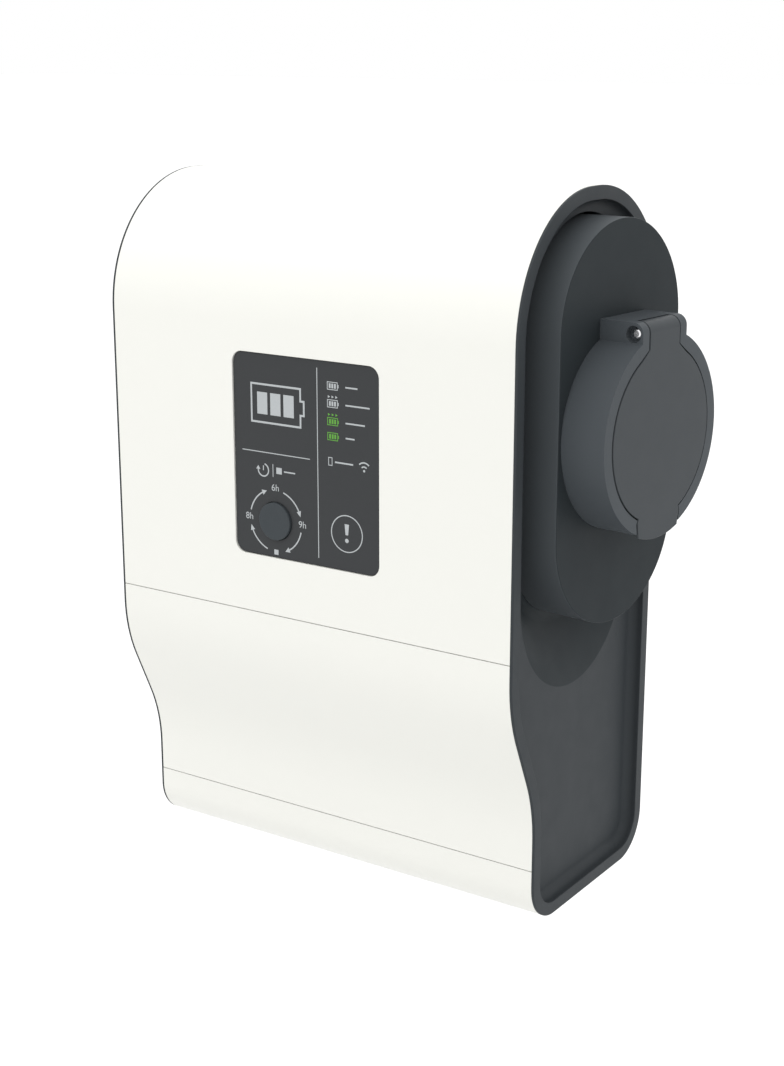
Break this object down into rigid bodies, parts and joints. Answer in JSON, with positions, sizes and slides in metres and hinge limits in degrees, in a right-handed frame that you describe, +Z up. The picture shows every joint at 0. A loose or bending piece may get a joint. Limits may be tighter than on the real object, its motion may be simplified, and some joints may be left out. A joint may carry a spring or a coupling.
{
  "type": "wall charging station",
  "caption": "Wall-mounted electric car charging station: curved cover between two side cheeks, front display panel with a push button, side socket under a sprung hinged lid.",
  "frame": {"origin": "centre of the four wall-fixing holes, on the back face that rests on the wall", "axes": "+Z up, +Y into the wall, front faces -Y, +X to the socket side"},
  "size_m": [0.3713, 0.187, 0.49],
  "materials": {
    "white_cover": "smooth, low gloss moulded",
    "anthracite": "fine-grained moulded",
    "panel": "satin printed fascia",
    "button": "satin moulded",
    "guide": "frosted clear plastic",
    "board": "lacquered circuit board",
    "dark_plastic": "moulded black",
    "device": "moulded light grey",
    "steel": "bright zinc or stainless",
    "brass": "machined",
    "rubber": "soft black",
    "cable": "insulated"
  },
  "bodies": {
    "box": {"back_shell": "anthracite", "left_cheek": "anthracite", "right_cheek": "anthracite", "upper_cover": "white_cover", "lower_cover": "white_cover", "bottom_cover": "white_cover", "display_panel": "panel", "light_guides": "guide", "display_board": "board", "board_screws": "steel", "button_switch": "dark_plastic", "button_spring": "steel", "socket_housing": "anthracite", "flap_ring": "anthracite", "hinge_pin": "steel", "lid_spring": "steel", "socket_body": "dark_plastic", "contact_carrier": "dark_plastic", "power_contacts": "brass", "signal_contacts": "brass", "socket_screws": "steel", "ring_screws": "steel", "lock_motor": "dark_plastic", "din_rail": "steel", "residual_breaker": "device", "contactor": "device", "terminal_blocks": "device", "control_board": "board", "board_parts": "dark_plastic", "board_pillars": "brass", "earth_bar": "brass", "power_wires": "cable", "signal_wires": "cable", "gland_body": "dark_plastic", "gland_seal": "rubber", "gland_cap": "dark_plastic", "gland_nut": "dark_plastic", "cheek_screws": "steel", "cover_screws": "steel"},
    "lid": {"socket_lid": "anthracite", "lid_seal": "rubber"},
    "button": {"push_button": "button", "switch_plunger": "device"},
    "plug_lock": {"lock_pin": "steel"},
    "toggle": {"breaker_toggle": "dark_plastic"}
  },
  "joints": [
    {"name": "lid_hinge", "type": "hinge", "parent": "box", "child": "lid", "pos_m": [0.20058, -0.09466, 0.152], "axis": [-0.0993, -0.9951, 0], "range_deg": [0, 110], "stiffness_Nm_per_rad": 0.05, "springref_deg": -57.3, "deforming": ["lid_spring"]},
    {"name": "button_press", "type": "slide", "parent": "box", "child": "button", "axis": [0, 1, 0], "range_m": [0, 0.0012], "stiffness_N_per_m": 800, "springref_m": -0.001, "deforming": ["button_spring"]},
    {"name": "plug_lock_slide", "type": "slide", "parent": "box", "child": "plug_lock", "axis": [0, 0, -1], "range_m": [0, 0.005]},
    {"name": "breaker_toggle_turn", "type": "hinge", "parent": "box", "child": "toggle", "pos_m": [-0.077, -0.076, 0.02], "axis": [1, 0, 0], "range_deg": [0, 80]}
  ]
}
